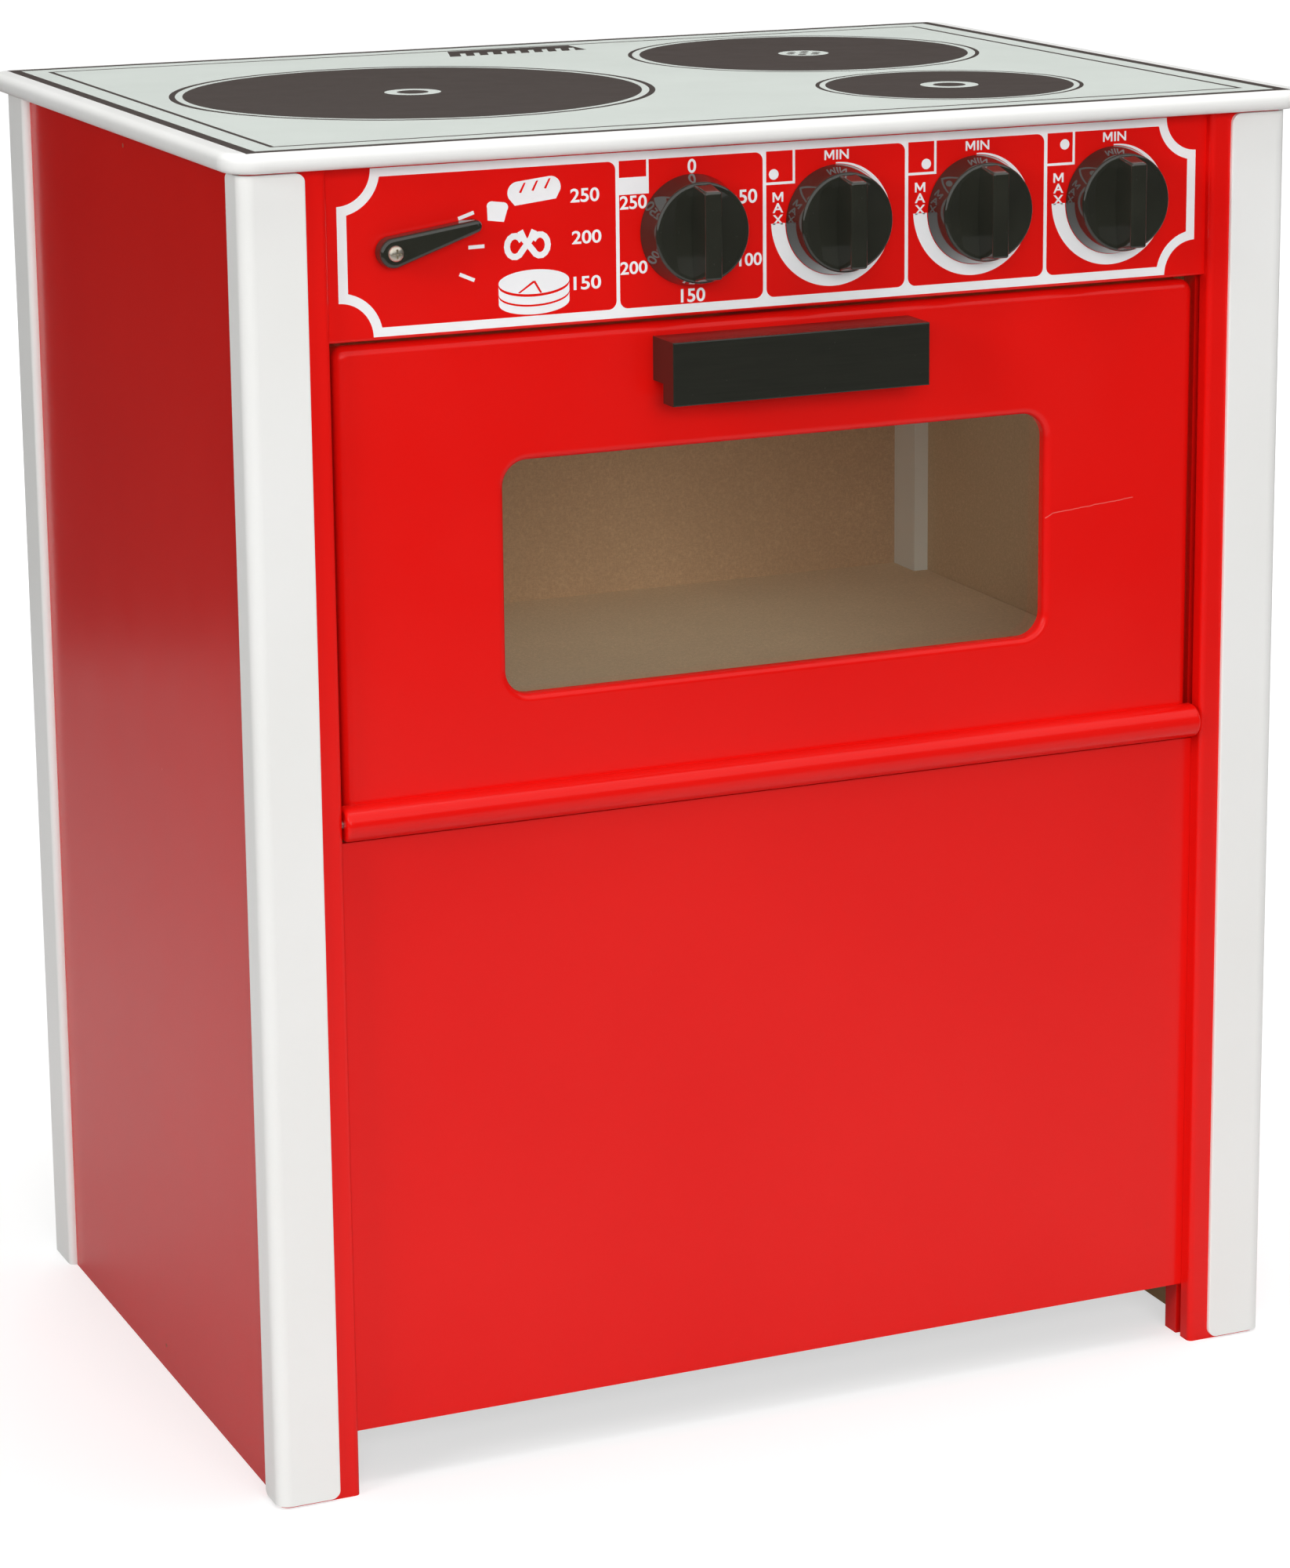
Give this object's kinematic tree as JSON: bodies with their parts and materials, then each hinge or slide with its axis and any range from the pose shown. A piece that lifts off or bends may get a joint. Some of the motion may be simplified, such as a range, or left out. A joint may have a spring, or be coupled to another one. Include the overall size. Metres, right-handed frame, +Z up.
{
  "type": "toy stove",
  "caption": "Wooden toy stove: printed hob board on a panelled carcass, with a drop-down windowed oven door, turning control knobs and a swinging temperature lever.",
  "frame": {"origin": "middle of the object's box on the floor", "axes": "+Z up, -Y towards the front with the door and knobs, +X to the right seen from the front"},
  "size_m": [0.412, 0.3048, 0.48],
  "materials": {
    "white_board": "satin white paint with a screen-printed top",
    "red_paint": "glossy red paint on wood board",
    "white_paint": "satin white paint on wood",
    "raw_hardboard": "raw brown hardboard",
    "raw_wood": "raw pine",
    "black_paint": "satin black paint on wood",
    "black_plastic": "glossy black",
    "clear_plastic": "clear acrylic",
    "bright_steel": "nickel plated",
    "nail_steel": "bright steel",
    "catch_plastic": "off-white",
    "magnet": "dark ferrite",
    "steel_pin": "bright steel"
  },
  "bodies": {
    "carcass": {"hob_board": "white_board", "back_panel": "raw_hardboard", "control_panel": "red_paint", "lower_panel": "red_paint", "oven_shelf": "raw_hardboard", "top_rail": "raw_wood", "side_nails": "nail_steel", "back_nails": "nail_steel", "panel_dowels": "raw_wood", "board_screws": "bright_steel", "catch_body": "catch_plastic", "catch_magnet": "magnet", "knob_washers": "nail_steel", "lever_screw": "bright_steel", "lever_washer": "bright_steel", "batten_screws": "bright_steel", "catch_screws": "bright_steel", "front_post_right": "red_paint", "corner_trim_right": "white_paint", "rear_post_right": "white_paint", "side_panel_right": "red_paint", "shelf_batten_right": "raw_wood", "top_batten_right": "raw_wood", "low_batten_right": "raw_wood", "front_post_left": "red_paint", "corner_trim_left": "white_paint", "rear_post_left": "white_paint", "side_panel_left": "red_paint", "shelf_batten_left": "raw_wood", "top_batten_left": "raw_wood", "low_batten_left": "raw_wood"},
    "door": {"oven_door": "red_paint", "door_pane": "clear_plastic", "door_moulding": "red_paint", "door_handle": "black_paint", "handle_screws": "bright_steel", "pane_screws": "bright_steel", "hinge_pin_right": "steel_pin", "hinge_pin_left": "steel_pin", "strike_plate": "nail_steel", "strike_screw": "bright_steel"},
    "lever": {"lever_arm": "black_plastic"},
    "oven_knob": {"oven_knob": "black_plastic", "oven_knob_screw": "bright_steel"},
    "hob_knob_left": {"hob_knob_left": "black_plastic", "hob_knob_left_screw": "bright_steel"},
    "hob_knob_middle": {"hob_knob_middle": "black_plastic", "hob_knob_middle_screw": "bright_steel"},
    "hob_knob_right": {"hob_knob_right": "black_plastic", "hob_knob_right_screw": "bright_steel"}
  },
  "joints": [
    {"name": "door_hinge", "type": "hinge", "parent": "carcass", "child": "door", "pos_m": [0, -0.13335, 0.2462], "axis": [1, 0, 0], "range_deg": [0, 90]},
    {"name": "lever_pivot", "type": "hinge", "parent": "carcass", "child": "lever", "pos_m": [-0.1463, -0.13325, 0.4432], "axis": [0, -1, 0], "range_deg": [-34, 6]},
    {"name": "oven_knob_spin", "type": "hinge", "parent": "carcass", "child": "oven_knob", "pos_m": [-0.0351, -0.13325, 0.4432], "axis": [0, -1, 0], "continuous": true},
    {"name": "hob_knob_left_spin", "type": "hinge", "parent": "carcass", "child": "hob_knob_left", "pos_m": [0.0202, -0.13325, 0.4432], "axis": [0, -1, 0], "continuous": true},
    {"name": "hob_knob_middle_spin", "type": "hinge", "parent": "carcass", "child": "hob_knob_middle", "pos_m": [0.0755, -0.13325, 0.4432], "axis": [0, -1, 0], "continuous": true},
    {"name": "hob_knob_right_spin", "type": "hinge", "parent": "carcass", "child": "hob_knob_right", "pos_m": [0.1308, -0.13325, 0.4432], "axis": [0, -1, 0], "continuous": true}
  ]
}
